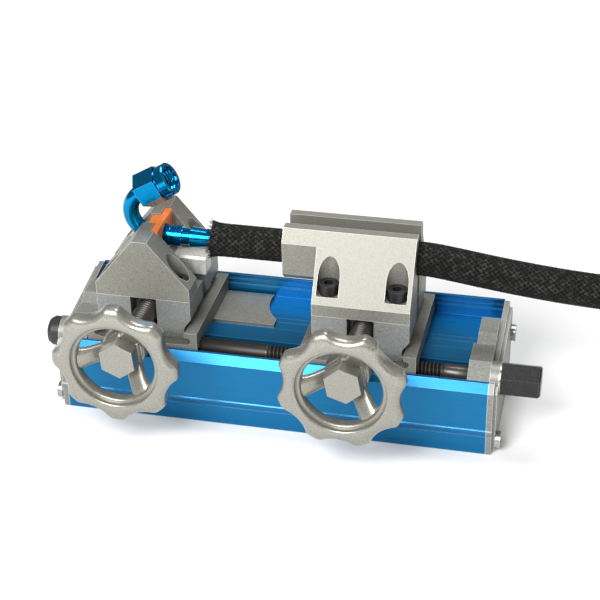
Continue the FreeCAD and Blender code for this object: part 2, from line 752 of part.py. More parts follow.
def fitting_stem():
    stem = body("fitting_stem", "vise_left", z="hose_z")
    groove = "collar_round - line_depth"
    revolve(stem, "XZ", rod([
        ("tube_start", "tube_round"), ("collar_start", "tube_round"),
        ("collar_start", "collar_round"), ("collar_end", "collar_round"),
        ("collar_end", groove), ("ring_start", groove),
        ("ring_start", "barb_round"), ("ring_end", "barb_round"),
        ("ring_end", "barb_low - line_depth"), ("barb_start", "barb_low - line_depth"),
        ("barb_start + 1", "barb_round"), ("barb_end", "barb_low"), ("tip_end", "barb_low")]))
    cut(stem, "YZ", [("0", "0", "tip_bore")], "ring_start", "tip_end")
    bend_end = ("tube_start - bend_round * sin(bend_turn)", "bend_round - bend_round * cos(bend_turn)")
    route = [("tube_start", "0", "bend_round", "right"),
             ("tube_start - bend_round", "bend_round", "bend_round", "right"), bend_end,
             (bend_end[0] + " - nose_long * cos(bend_turn)", bend_end[1] + " + nose_long * sin(bend_turn)")]
    spine = sketch(stem, "XZ_Plane", [route], closed=False)
    pipe = stem.newObject("PartDesign::AdditivePipe", "fitting_stem_tube")
    pipe.Profile = sketch(stem, "YZ_Plane", [("0", "0", "tube_round")], "tube_start")
    pipe.Spine = (spine, ["Edge1", "Edge2", "Edge3"])
    stem.Tip = pipe


def swivel_nut():
    nut = body("swivel_nut", "vise_left + tube_start - bend_round * sin(bend_turn)", "0",
               "hose_z + bend_round - bend_round * cos(bend_turn)", "180 - bend_turn")
    extrude(nut, "YZ", [hexagon("0", "0", "nut_flats", "90")], "nut_start", "nut_hex_end")
    collar = rod([("nut_hex_end", "nut_groove"), ("nut_hex_end + nut_start", "nut_groove"),
                  ("nut_hex_end + nut_start", "nut_collar"), ("nut_end - 0.4", "nut_collar"),
                  ("nut_end", "nut_collar - 0.4")])
    revolve(nut, "XZ", collar)
    cut(nut, "YZ", [("0", "0", "tube_round + stem_gap")], "nut_start", "nut_end")
    cut(nut, "YZ", [("0", "0", "nut_mouth")], "nut_end - mouth_deep", "nut_end")


def hose_in_jaws():
    hose = body("hose_in_jaws", "vise_right", z="hose_z")
    ring = [("0", "0", "hose_round"), ("0", "0", "hose_bore")]
    extrude(hose, "YZ", ring, "hose_cut", "jaw_half")


# The free end of the hose leaves the jaws level and sags to the right: X and Z from the jaws
HOSE_ROUTE = [(13.2, 0.0), (35.2, -2.8), (59.2, -6.1), (85.2, -8.7), (111.2, -10.0)]
ARC_SHARE = 0.45


def rounded_route(points):
    """Straight runs joined by tangent arcs, each as large as its two runs allow."""
    edges = []
    start = points[0]
    for before, corner, after in zip(points, points[1:], points[2:]):
        arriving = (corner - before).normalize()
        leaving = (after - corner).normalize()
        half_turn = arriving.getAngle(leaving) / 2
        reach = ARC_SHARE * min(before.distanceToPoint(corner), corner.distanceToPoint(after))
        radius = reach / math.tan(half_turn)
        print("hose radius", round(radius, 1))
        first = corner - arriving * reach
        last = corner + leaving * reach
        inward = (leaving - arriving).normalize()
        middle = corner + inward * (radius / math.cos(half_turn) - radius)
        edges.append(Part.LineSegment(start, first).toShape())
        edges.append(Part.Arc(first, middle, last).toShape())
        start = last
    edges.append(Part.LineSegment(start, points[-1]).toShape())
    return Part.Wire(edges)


def hose_tail():
    """The hose beyond the jaws, a plain rod of the outer diameter along its route."""
    start = Vector(value("vise_right + jaw_half"), 0, value("hose_z"))
    route = rounded_route([start] + [start + Vector(x, 0, z) for x, z in HOSE_ROUTE])
    radius = value("hose_round")
    heading = route.Edges[0].tangentAt(route.Edges[0].FirstParameter)
    section = Part.Wire(Part.makeCircle(radius, start, heading))
    made = doc.addObject("Part::Feature", "hose_tail")
    made.Label = "hose_tail"
    made.Shape = route.makePipeShell([section], True, False)
    made.Placement = Placement()
    nodes.append(made)
    print("hose tail length", round(route.Length, 1),
          "volume share", round(made.Shape.Volume / (math.pi * radius ** 2 * route.Length), 4))


def build_all():
    base_rail()
    mirrored(end_plate_right(), "end_plate_left", Vector(1, 0, 0))
    mirrored(plate_screws_right(), "end_plate_screws_left", Vector(1, 0, 0))
    mirrored(washer_right(), "thrust_washer_left", Vector(1, 0, 0))
    lead_screw()
    lead_screw_cap()
    carriage("carriage_left", "vise_left", "base_top", "floor_height")
    carriage("carriage_right", "vise_right", "base_top + slide_gap", "floor_height + slide_gap")
    lead_nut()
    for side_name, place, near in (("left", "vise_left", "left_near"), ("right", "vise_right", "right_near")):
        screw_keeper("screw_keeper_" + side_name, place)
        vise_screw("vise_screw_" + side_name, place)
        handwheel("handwheel_" + side_name, place, "wheel_turn_" + side_name)
        jaw_base("jaw_base_%s_front" % side_name, place, -1, near, "jaw_far")
        jaw_base("jaw_base_%s_back" % side_name, place, 1, near, "back_foot")
        jaw_screws("jaw_screws_%s_front" % side_name, place, -1)
        jaw_screws("jaw_screws_%s_back" % side_name, place, 1)
    jaw_left("jaw_left_front", -1)
    jaw_left("jaw_left_back", 1)
    insert("insert_front", -1)
    insert("insert_back", 1)
    hose_rest()
    mirrored(jaw_right_front(), "jaw_right_back", Vector(0, 1, 0))
    fitting_stem()
    swivel_nut()
    hose_in_jaws()
    doc.recompute()
    hose_tail()
    doc.recompute()


def check_and_export():
    """Stop on any failed object or bad solid, then write one file for each sub-part."""
    for made in doc.Objects:
        if {"Invalid", "Error"} & set(made.State):
            raise RuntimeError("%s failed: %s" % (made.Label, made.State))
    for node in nodes:
        if node.Shape.isNull() or not node.Shape.isValid() or not node.Shape.Solids:
            raise RuntimeError("%s has no valid solid" % node.Label)
    os.makedirs("parts", exist_ok=True)
    for node in nodes:
        box = node.Shape.BoundBox
        print(node.Label, len(node.Shape.Solids), "X %.1f %.1f Y %.1f %.1f Z %.1f %.1f" % (
            box.XMin, box.XMax, box.YMin, box.YMax, box.ZMin, box.ZMax))
        node.Shape.exportStep("parts/%s.step" % node.Label)


build_all()
check_and_export()
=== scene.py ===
# %% [markdown]
# # A bench hose press
# The press holds a hose fitting in its left vise and a braided hose in its right vise.
# A lead screw pulls the right vise to the left, which pushes the hose over the fitting.
# The metal parts with flat faces come from the CAD frame and only get a finish here.
# Threads, smooth castings and the braided hose are worked out below as surfaces. The left
# jaws are cut from blocks, because their pocket shows more steps than the frame has, and the
# right jaws get wider ridges.

# %% Load the frame
import json
import math

import bmesh
import bpy
import numpy as np
from mathutils import Matrix, Vector


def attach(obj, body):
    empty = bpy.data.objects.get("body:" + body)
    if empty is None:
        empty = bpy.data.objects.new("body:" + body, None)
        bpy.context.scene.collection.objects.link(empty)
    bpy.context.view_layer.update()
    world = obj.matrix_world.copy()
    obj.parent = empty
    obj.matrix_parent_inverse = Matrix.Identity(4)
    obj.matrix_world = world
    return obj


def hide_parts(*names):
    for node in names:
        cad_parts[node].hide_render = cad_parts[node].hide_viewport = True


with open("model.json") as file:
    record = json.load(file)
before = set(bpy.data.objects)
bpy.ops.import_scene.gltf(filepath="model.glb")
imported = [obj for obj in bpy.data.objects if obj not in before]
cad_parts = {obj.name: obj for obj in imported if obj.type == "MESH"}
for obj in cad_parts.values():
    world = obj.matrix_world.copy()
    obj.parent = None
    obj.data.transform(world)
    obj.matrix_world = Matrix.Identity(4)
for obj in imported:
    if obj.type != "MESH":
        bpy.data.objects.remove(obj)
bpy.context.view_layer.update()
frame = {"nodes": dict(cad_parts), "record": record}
MM = 0.001

# %% [markdown]
# ## The camera
# The photograph was taken from above and to the right with a long lens, about 0.85 m away.
# The camera's place and turn are written as real distances and angles, so the picture has
# the same perspective as the photograph.

# %% Camera
CAMERA_PLACE = Vector((0.1743, -0.6962, 0.48573))
CAMERA_YAW = math.radians(13.46)
CAMERA_PITCH = math.radians(30.85)
CAMERA_ROLL = math.radians(-1.23)
CAMERA_LENS = 94.3
SENSOR_WIDTH = 36


def camera_axes():
    """Right, up and forward, from a yaw left, a pitch down and a small roll."""
    forward = Vector((-math.sin(CAMERA_YAW) * math.cos(CAMERA_PITCH),
                      math.cos(CAMERA_YAW) * math.cos(CAMERA_PITCH), -math.sin(CAMERA_PITCH)))
    level = Vector((math.cos(CAMERA_YAW), math.sin(CAMERA_YAW), 0))
    upright = level.cross(forward)
    right = math.cos(CAMERA_ROLL) * level + math.sin(CAMERA_ROLL) * upright
    up = math.cos(CAMERA_ROLL) * upright - math.sin(CAMERA_ROLL) * level
    return right, up, forward


right, up, forward = camera_axes()
camera = bpy.data.objects.new("camera", bpy.data.cameras.new("camera"))
camera.data.sensor_width = SENSOR_WIDTH
camera.data.lens = CAMERA_LENS
camera.data.clip_start = 0.05
camera_turn = Matrix((right, up, -forward)).transposed().to_4x4()
camera.matrix_world = Matrix.Translation(CAMERA_PLACE) @ camera_turn
bpy.context.scene.collection.objects.link(camera)
bpy.context.scene.camera = camera
print("camera looks along", [round(x, 3) for x in forward])

# %% [markdown]
# ## Small tools for surfaces
# Every new surface is a grid of points: rows run along the piece, columns run round it.
# Neighbouring rows and columns are joined by four-sided faces. A closed grid joins its last
# column to its first, and flat end caps close a rod.

# %% Grid of faces


def grid_faces(rows, columns, wrap_rows=False):
    """Quads between neighbouring rows and columns; columns always wrap round."""
    row = np.arange(rows if wrap_rows else rows - 1)
    column = np.arange(columns)
    r0, c0 = np.meshgrid(row, column, indexing="ij")
    r1 = (r0 + 1) % rows
    c1 = (c0 + 1) % columns
    corners = [r0 * columns + c0, r0 * columns + c1, r1 * columns + c1, r1 * columns + c0]
    return np.stack(corners, axis=-1).reshape(-1, 4)


print("faces of a grid of 3 rows and 8 columns:", len(grid_faces(3, 8)))

# %% From points to a piece


def mesh_piece(name, points, faces, material, body, smooth=True, relief=None):
    """A mesh object in metres that rides on a body of the frame."""
    mesh = bpy.data.meshes.new(name)
    mesh.from_pydata(points.tolist(), [], [list(face) for face in faces])
    mesh.polygons.foreach_set("use_smooth", [smooth] * len(mesh.polygons))
    if relief is not None:
        layer = mesh.attributes.new("relief", "FLOAT", "POINT")
        layer.data.foreach_set("value", np.ascontiguousarray(relief, dtype=np.float32).ravel())
    mesh.materials.append(material)
    mesh.update()
    piece = bpy.data.objects.new(name, mesh)
    bpy.context.scene.collection.objects.link(piece)
    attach(piece, body)
    return piece


def closed_rod(grid):
    """Points and faces of a grid (rows, columns, 3) with a flat cap on both ends."""
    rows, columns = grid.shape[:2]
    faces = grid_faces(rows, columns).tolist()
    faces.append(list(range(columns))[::-1])
    faces.append(list(range((rows - 1) * columns, rows * columns)))
    return grid.reshape(-1, 3), faces


def outward(piece):
    """Turn all faces of a closed piece to point outwards."""
    mesh = bmesh.new()
    mesh.from_mesh(piece.data)
    bmesh.ops.recalc_face_normals(mesh, faces=mesh.faces)
    mesh.to_mesh(piece.data)
    mesh.free()
    return piece


# %% [markdown]
# ## Shader tools
# A finish is a Principled shader whose colour, roughness and bump come from noise.
# The speckle of a blasted casting and the fine lines of an extrusion are the same idea at
# other scales, so one node group makes both: noise on Object coordinates, stretched by a
# Mapping node in front of it. A second group finds the edges: where the normal of a slightly
# rounded shape differs from the real one, a lighter colour is painted on as an edge highlight.
# A third group paints shade into the gaps of threads and braid and a highlight on their crests,
# by the height that is stored on their meshes.

# %% Node helpers


def add_node(nodes, kind, values=None, **settings):
    """A node with its settings, then the values of its sockets by their labels."""
    node = nodes.new("ShaderNode" + kind)
    for label, setting in settings.items():
        setattr(node, label, setting)
    for socket, value in (values or {}).items():
        node.inputs[socket].default_value = value
    return node


def wire(links, *wires):
    """Each wire goes from (node, output) to (node, input)."""
    for start, output, end, socket in wires:
        links.new(start.outputs[output], end.inputs[socket])


def group_with(name, inputs, outputs):
    """An empty node group with named inputs and outputs."""
    group = bpy.data.node_groups.new(name, "ShaderNodeTree")
    for kinds, way in ((inputs, "INPUT"), (outputs, "OUTPUT")):
        for label, kind in kinds:
            group.interface.new_socket(label, in_out=way, socket_type="NodeSocket" + kind)
    nodes = group.nodes
    return group, nodes, group.links, nodes.new("NodeGroupInput"), nodes.new("NodeGroupOutput")


# %% Speckle group


def speckle_group():
    """Noise that mixes two colours, varies the roughness and lifts the surface a little."""
    group, nodes, links, start, end = group_with(
        "speckle",
        [("Vector", "Vector"), ("Scale", "Float"), ("Dark", "Color"), ("Light", "Color"),
         ("Rough low", "Float"), ("Rough high", "Float"), ("Bump", "Float"), ("Normal", "Vector")],
        [("Color", "Color"), ("Roughness", "Float"), ("Normal", "Vector")])
    noise = add_node(nodes, "TexNoise", {"Detail": 6, "Roughness": 0.65})
    contrast = add_node(nodes, "MapRange", {"From Min": 0.3, "From Max": 0.7})
    tint = add_node(nodes, "Mix", data_type="RGBA")
    rough = add_node(nodes, "MapRange")
    bump = add_node(nodes, "Bump", {"Distance": 0.0002})
    wire(links,
         (start, "Vector", noise, "Vector"), (start, "Scale", noise, "Scale"),
         (noise, "Fac", contrast, "Value"), (contrast, "Result", tint, "Factor"),
         (start, "Dark", tint, "A"), (start, "Light", tint, "B"),
         (contrast, "Result", rough, "Value"), (start, "Rough low", rough, "To Min"),
         (start, "Rough high", rough, "To Max"), (start, "Bump", bump, "Strength"),
         (noise, "Fac", bump, "Height"), (start, "Normal", bump, "Normal"),
         (tint, "Result", end, "Color"), (rough, "Result", end, "Roughness"),
         (bump, "Normal", end, "Normal"))
    return group


SPECKLE = speckle_group()
print("speckle inputs:", [item.name for item in SPECKLE.interface.items_tree][-8:])

# %% Worn edge group
EDGE_RADIUS = 0.00035


def worn_edge_group():
    """A rounded normal, and a mask that is 1 where it turns away from the real normal; there a lighter
    colour is painted on as an edge highlight.
    """
    group, nodes, links, start, end = group_with(
        "worn_edge", [("Color", "Color"), ("Edge highlight", "Color")], [("Color", "Color"), ("Normal", "Vector")])
    rounded = add_node(nodes, "Bevel", {"Radius": EDGE_RADIUS}, samples=6)
    real = add_node(nodes, "NewGeometry")
    same = add_node(nodes, "VectorMath", operation="DOT_PRODUCT")
    wire(links, (rounded, "Normal", same, 0), (real, "Normal", same, 1))
    # Painted edge highlight: a lighter colour is mixed in where the rounded normal leaves the real one.
    mask = add_node(nodes, "MapRange", {"From Min": 0.995, "From Max": 0.9})
    tint = add_node(nodes, "Mix", data_type="RGBA")
    wire(links,
         (same, "Value", mask, "Value"), (mask, "Result", tint, "Factor"),
         (start, "Color", tint, "A"), (start, "Edge highlight", tint, "B"),
         (tint, "Result", end, "Color"), (rounded, "Normal", end, "Normal"))
    return group


EDGE_HIGHLIGHT = worn_edge_group()
print("edge radius", EDGE_RADIUS)

# %% Relief group


def relief_light_group():
    """Colour and roughness from the height that is stored on a woven or threaded surface: painted shade
    where it is low, a painted highlight where it is high.
    """
    group, nodes, links, start, end = group_with(
        "relief_tint", [("Height", "Float"), ("Gap shade", "Color"), ("Crest highlight", "Color"),
                        ("Rough low", "Float"), ("Rough high", "Float")],
        [("Color", "Color"), ("Roughness", "Float")])
    tint = add_node(nodes, "Mix", data_type="RGBA")
    rough = add_node(nodes, "MapRange")
    wire(links,
         (start, "Height", tint, "Factor"), (start, "Gap shade", tint, "A"), (start, "Crest highlight", tint, "B"),
         (start, "Height", rough, "Value"), (start, "Rough high", rough, "To Min"),
         (start, "Rough low", rough, "To Max"),
         (tint, "Result", end, "Color"), (rough, "Result", end, "Roughness"))
    return group


RELIEF_LIGHT_PAINT = relief_light_group()
print("node groups:", len(bpy.data.node_groups))

# %% Finishes built from the groups


def new_shader(name, metallic):
    """A material with its nodes, links and Principled shader."""
    material = bpy.data.materials.new(name)
    material.use_nodes = True
    nodes, links = material.node_tree.nodes, material.node_tree.links
    shader = nodes["Principled BSDF"]
    shader.inputs["Metallic"].default_value = metallic
    return material, nodes, links, shader


def finish(name, dark, light, metallic, rough, scale, bump, stretch=(1, 1, 1), worn=None):
    """A speckled metal or plastic; its edges take a painted highlight colour."""
    material, nodes, links, shader = new_shader(name, metallic)
    place = add_node(nodes, "TexCoord")
    mapping = add_node(nodes, "Mapping", {"Scale": stretch})
    edge = add_node(nodes, "Group", {"Edge highlight": (*(worn or light), 1)}, node_tree=EDGE_HIGHLIGHT)
    values = {"Scale": scale, "Dark": (*dark, 1), "Light": (*light, 1),
              "Rough low": rough[0], "Rough high": rough[1], "Bump": bump}
    speckle = add_node(nodes, "Group", values, node_tree=SPECKLE)
    wire(links,
         (place, "Object", mapping, "Vector"), (mapping, "Vector", speckle, "Vector"),
         (edge, "Normal", speckle, "Normal"), (speckle, "Color", edge, "Color"),
         (edge, "Color", shader, "Base Color"), (speckle, "Roughness", shader, "Roughness"),
         (speckle, "Normal", shader, "Normal"))
    return material


PATCH_SCALE = 420


def relief_shaded_finish(name, deep, crest, metallic, rough, specular=0.5, faintest=1.0):
    """Colour follows the stored height, painted shade in the gaps and a painted highlight on the crests;
    patches of noise lower it down to the faintest share.
    """
    material, nodes, links, shader = new_shader(name, metallic)
    shader.inputs["Specular IOR Level"].default_value = specular
    stored = add_node(nodes, "Attribute", attribute_name="relief")
    place = add_node(nodes, "TexCoord")
    patches = add_node(nodes, "TexNoise", {"Scale": PATCH_SCALE})
    uneven = add_node(nodes, "MapRange", {"From Min": 0.46, "From Max": 0.66, "To Min": faintest})
    height = add_node(nodes, "Math", operation="MULTIPLY")
    values = {"Gap shade": (*deep, 1), "Crest highlight": (*crest, 1), "Rough low": rough[0], "Rough high": rough[1]}
    tint = add_node(nodes, "Group", values, node_tree=RELIEF_LIGHT_PAINT)
    wire(links,
         (place, "Object", patches, "Vector"), (patches, "Fac", uneven, "Value"),
         (stored, "Fac", height, 0), (uneven, "Result", height, 1), (height, "Value", tint, "Height"),
         (tint, "Color", shader, "Base Color"), (tint, "Roughness", shader, "Roughness"))
    return material


# %% [markdown]
# ## The finishes
# Blasted castings are a warm grey with a fine grain and no clear reflections.
# Anodised aluminium keeps the metal's gloss under a clear dye, so it is metallic with a
# saturated colour. Black oxide is dark, slightly glossy steel; its thread crests are glossier and carry a
# painted highlight, and its roots carry painted shade.

# %% Materials
# The third colour of each metal is painted on its edges as a highlight.
METALS = {
    "jaw_castings": dict(
        dark=(0.155, 0.152, 0.125), light=(0.335, 0.33, 0.292), worn=(0.85, 0.84, 0.8),
        metallic=0.45, rough=(0.42, 0.56), scale=1500, bump=0.3),
    "wheel_castings": dict(
        dark=(0.225, 0.22, 0.19), light=(0.4, 0.392, 0.345), worn=(0.6, 0.58, 0.5),
        metallic=0.75, rough=(0.26, 0.4), scale=1500, bump=0.25),
    "end_castings": dict(
        dark=(0.175, 0.175, 0.16), light=(0.32, 0.32, 0.3), worn=(0.75, 0.74, 0.7),
        metallic=0.5, rough=(0.4, 0.55), scale=1100, bump=0.2),
    "carriage_metal": dict(
        dark=(0.15, 0.148, 0.13), light=(0.28, 0.275, 0.25), worn=(0.6, 0.6, 0.55),
        metallic=0.5, rough=(0.42, 0.58), scale=1100, bump=0.2),
    "block_aluminium": dict(
        dark=(0.17, 0.178, 0.172), light=(0.33, 0.342, 0.33), worn=(0.6, 0.6, 0.58),
        metallic=0.5, rough=(0.38, 0.52), scale=1400, bump=0.25),
    "anodised_blue": dict(
        dark=(0.0004, 0.13, 0.3), light=(0.0005, 0.15, 0.335), worn=(0.15, 0.42, 0.8),
        metallic=0.6, rough=(0.27, 0.31), scale=900, bump=0.02, stretch=(0.03, 1, 1)),
    "machined_steel": dict(
        dark=(0.32, 0.32, 0.3), light=(0.52, 0.52, 0.5), worn=(0.7, 0.7, 0.68),
        metallic=0.85, rough=(0.24, 0.4), scale=900, bump=0.1, stretch=(1, 0.08, 1)),
    "black_steel": dict(
        dark=(0.012, 0.012, 0.013), light=(0.035, 0.034, 0.033), worn=(0.12, 0.12, 0.12),
        metallic=0.5, rough=(0.3, 0.45), scale=900, bump=0.15),
    "fitting_blue": dict(
        dark=(0.0, 0.15, 0.36), light=(0.002, 0.23, 0.47), worn=(0.1, 0.55, 0.8),
        metallic=0.95, rough=(0.1, 0.2), scale=700, bump=0.03),
    "polished_rest": dict(
        dark=(0.5, 0.5, 0.46), light=(0.72, 0.72, 0.67), worn=(0.8, 0.8, 0.76),
        metallic=0.35, rough=(0.3, 0.44), scale=500, bump=0.2, stretch=(1, 1, 0.2)),
}
PLASTICS = {
    "cap_plastic": dict(
        dark=(0.01, 0.01, 0.01), light=(0.025, 0.025, 0.025),
        metallic=0.0, rough=(0.4, 0.5), scale=700, bump=0.05),
    "insert_plastic": dict(
        dark=(0.74, 0.17, 0.03), light=(0.85, 0.24, 0.05),
        metallic=0.0, rough=(0.42, 0.55), scale=500, bump=0.08),
}
FINISHES = {name: finish(name, **values) for name, values in {**METALS, **PLASTICS}.items()}
# The hose cover's first colour is painted shade for the braid's gaps, the second a painted highlight for
# its crests.
FINISHES["hose_cover"] = relief_shaded_finish(
    "hose_cover", (0.001, 0.001, 0.001), (0.046, 0.045, 0.041), 0.0, (0.6, 0.9),
    specular=0.2, faintest=0.25)
# The threads' first colour is painted shade for the roots, the second a painted highlight for the crests.
FINISHES["thread_steel"] = relief_shaded_finish(
    "thread_steel", (0.003, 0.003, 0.003), (0.085, 0.08, 0.074), 0.6, (0.28, 0.5))
print("finishes:", len(FINISHES))

# %% Finishes of the CAD nodes
OWN_FINISH = {"hose_rest": "polished_rest", "thrust_washer_left": "black_steel",
              "end_plate_screws_left": "machined_steel", "end_plate_screws_right": "machined_steel"}
slot_of = {part["node"]: part["material_slot"] for part in frame["record"]["subparts"]}
for node, thing in frame["nodes"].items():
    thing.data.materials.clear()
    thing.data.materials.append(FINISHES[OWN_FINISH.get(node, slot_of[node])])
print("finished nodes:", len(slot_of))

# %% [markdown]
# ## The hose
# A braided cover is two sets of threads that wind round the hose in opposite ways and go
# over and under each other. Each set is a cosine across its threads, raised where it goes
# over and sunk where it goes under, and the higher of the two sets shows. The same height is
# stored on the mesh, so that the finish can paint shade into the gaps and a highlight onto the
# crests. Each tube has an open bore at the end that shows, made of two more rows of the same grid.

# %% Braided tube
HOSE_RADIUS = 8.85 * MM
HOSE_HEIGHT = 90.3 * MM
HOSE_BORE = 5.8 * MM
BORE_DEEP = 24 * MM
HOSE_CUT_X = -38.2 * MM
JAW_END_X = 70.8 * MM
BRAID_DEEP = 0.6 * MM
BRAID_THREADS = 20
BRAID_STEP = 3.1 * MM
HOSE_COLUMNS = 200
HOSE_STEP = 0.4 * MM
END_FLARE = 0.8 * MM
FLARE_LENGTH = 2.2 * MM
BRAID_LIFT = 0.38
BRAID_FLOOR = 0.25


def sweep_frames(path):
    """Side and top directions at each point of a path that stays in the XZ plane."""
    tangent = np.gradient(path, axis=0)
    tangent /= np.linalg.norm(tangent, axis=1, keepdims=True)
    side = np.tile([0.0, 1.0, 0.0], (len(path), 1))
    top = np.cross(tangent, side)
    return side, top


def resample(path, step):
    """The same line with points at equal distances."""
    lengths = np.concatenate([[0], np.cumsum(np.linalg.norm(np.diff(path, axis=0), axis=1))])
    count = int(lengths[-1] / step) + 1
    wanted = np.linspace(0, lengths[-1], count)
    return np.stack([np.interp(wanted, lengths, path[:, k]) for k in range(3)], axis=1), wanted


def braid_height(way, angle):
    """0 in the gaps to 1 on top: max of two thread sets that take turns to be above."""
    round_way = BRAID_THREADS * angle[None, :]
    along = 2 * math.pi * way[:, None] / BRAID_STEP
    above = np.cos(round_way)
    one = (1 - BRAID_LIFT) * np.cos(round_way + along) + BRAID_LIFT * above
    other = (1 - BRAID_LIFT) * np.cos(round_way - along) - BRAID_LIFT * above
    return np.clip((np.maximum(one, other) + BRAID_FLOOR) / (1 + BRAID_FLOOR), 0, 1)


def braided_tube(name, path, start_way, body, open_end):
    """Radius = hose radius minus the braid's relief, swept along a path."""
    path, way = resample(path, HOSE_STEP)
    angle = np.linspace(0, 2 * math.pi, HOSE_COLUMNS, endpoint=False)
    height = braid_height(way + start_way, angle)
    flare = END_FLARE * np.exp(-(way + start_way) / FLARE_LENGTH)
    radius = HOSE_RADIUS + flare[:, None] - BRAID_DEEP * (1 - height)
    side, top = sweep_frames(path)
    cos, sin = np.cos(angle)[None, :, None], np.sin(angle)[None, :, None]
    around = cos * side[:, None, :] + sin * top[:, None, :]
    grid = path[:, None, :] + radius[:, :, None] * around
    grid, height = hollow_end(grid, height, path, around, open_end)
    points, faces = closed_rod(grid)
    return outward(mesh_piece(name, points, faces, FINISHES["hose_cover"], body, relief=height))


def hollow_end(grid, height, path, around, open_end):
    """Adds rows at the first or last ring: the cut wall's edge and the bore going inwards."""
    if open_end == "last":
        grid, height = hollow_end(grid[::-1], height[::-1], path[::-1], around[::-1], "first")
        return grid[::-1], height[::-1]
    mouth = path[0] + HOSE_BORE * around[0]
    bottom = mouth + BORE_DEEP * (path[1] - path[0]) / np.linalg.norm(path[1] - path[0])
    # The bore's rows take height 0, so they get the painted shade colour of the braid's gaps.
    dark = np.zeros((2, height.shape[1]))
    return np.concatenate([bottom[None], mouth[None], grid]), np.concatenate([dark, height])


# %% Hose in the jaws
straight = np.array([[HOSE_CUT_X, 0, HOSE_HEIGHT], [JAW_END_X, 0, HOSE_HEIGHT]])
hose = braided_tube("braided_hose", straight, 0, "right_carriage", "first")
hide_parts("hose_in_jaws")
print("hose faces", len(hose.data.polygons))

# %% [markdown]
# Where the hose was cut, the cover's threads spring loose. Each one is a thin tapering rod
# that starts in the cover, runs out past the cut and bends outwards with the square of the
# way along it.

# %% Loose threads at the cut
STRANDS = 150
STRAND_ROWS = 5
STRAND_SIDES = 4
STRAND_LENGTHS = (0.8, 2.4)
STRAND_SPREADS = (-0.3, 1.3)
STRAND_TWIST = 0.22
STRAND_ROOT = 0.8 * MM
STRAND_LIFT = 0.35 * MM
STRAND_RELIEF = 0.55
random = np.random.default_rng(7)


def loose_threads():
    """Points and faces of all the strands: (strand, row, side) as one array."""
    start = random.uniform(0, 2 * math.pi, STRANDS)
    length = random.uniform(*STRAND_LENGTHS, STRANDS) * MM
    spread = random.uniform(*STRAND_SPREADS, STRANDS) * MM
    twist = random.uniform(-STRAND_TWIST, STRAND_TWIST, STRANDS)
    t = np.linspace(0, 1, STRAND_ROWS)[None, :]
    x = HOSE_CUT_X + STRAND_ROOT - t * (length + STRAND_ROOT)[:, None]
    reach = HOSE_RADIUS + STRAND_LIFT + spread[:, None] * t ** 2
    angle = start[:, None] + twist[:, None] * t
    thick = (0.2 - 0.12 * t) * MM
    side = np.arange(STRAND_SIDES) * math.pi / 2
    out = reach[..., None] + thick[..., None] * np.cos(side)
    turn = angle[..., None] + thick[..., None] / HOSE_RADIUS * np.sin(side)
    along = np.broadcast_to(x[..., None], out.shape)
    points = np.stack([along, out * np.cos(turn), HOSE_HEIGHT + out * np.sin(turn)], axis=-1)
    one = closed_rod(points[0])[1]
    size = STRAND_ROWS * STRAND_SIDES
    faces = [[corner + number * size for corner in face] for number in range(STRANDS) for face in one]
    return points.reshape(-1, 3), faces


points, faces = loose_threads()
# The loose threads take a fixed share between the cover's painted shade and painted highlight.
frayed = outward(mesh_piece("frayed_threads", points, faces, FINISHES["hose_cover"], "right_carriage",
                            relief=np.full(len(points), STRAND_RELIEF)))
print("loose threads:", STRANDS)

# %% [markdown]
# The free end leaves the jaws almost level and bends down a little to the right. It is stiff,
# so it holds itself up, and it ends cut and open. Its line is a NURBS curve with the route's
# points as control points, and the braid follows that curve.

# %% Free end of the hose
HOSE_ROUTE = [(70.8, 90.3), (77.0, 90.2), (92.0, 88.2), (110.0, 85.6), (132.0, 83.0), (156.0, 81.0),
              (182.0, 79.9)]


def route_line(points):
    """A NURBS curve with the route's points as control points, read back as a line."""
    curve = bpy.data.curves.new("hose_route", "CURVE")
    curve.dimensions = "3D"
    curve.resolution_u = 24
    spline = curve.splines.new("NURBS")
    spline.points.add(len(points) - 1)
    for control, (x, z) in zip(spline.points, points):
        control.co = (x * MM, 0, z * MM, 1)
    spline.order_u = 3
    spline.use_endpoint_u = True
    holder = bpy.data.objects.new("hose_route", curve)
    line = bpy.data.meshes.new_from_object(holder)
    path = np.array([vertex.co[:] for vertex in line.vertices])
    bpy.data.objects.remove(holder)
    bpy.data.curves.remove(curve)
    bpy.data.meshes.remove(line)
    return path


tail_path = route_line(HOSE_ROUTE)
tail = braided_tube("hose_free_end", tail_path, JAW_END_X - HOSE_CUT_X, "right_carriage", "last")
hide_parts("hose_tail")

# %% [markdown]
# ## Screw threads
# A thread is a cylinder whose radius goes up and down once each pitch, and the pattern
# shifts by one pitch for each turn. A triangle wave of (way / pitch - angle / full turn)
# gives that helix without cutting anything.

# %% Threaded rods
THREAD_PITCH = 2.0
THREAD_DEEP = 0.95
THREAD_SLOPE = 1.25
THREAD_FLAT = 0.12
PLAIN_SHADE = 0.35
THREAD_COLUMNS = 48
ROWS_A_PITCH = 10


def thread_drop(way, angle, low, high):
    """How far the surface lies below the rod's radius, fading out at both thread ends."""
    phase = np.mod(way[:, None] / THREAD_PITCH - angle[None, :] / (2 * math.pi), 1)
    wave = np.clip(THREAD_SLOPE * np.abs(2 * phase - 1) - THREAD_FLAT, 0, 1)
    fade = np.clip((way - low) / THREAD_PITCH, 0, 1) * np.clip((high - way) / THREAD_PITCH, 0, 1)
    return THREAD_DEEP * wave * fade[:, None]


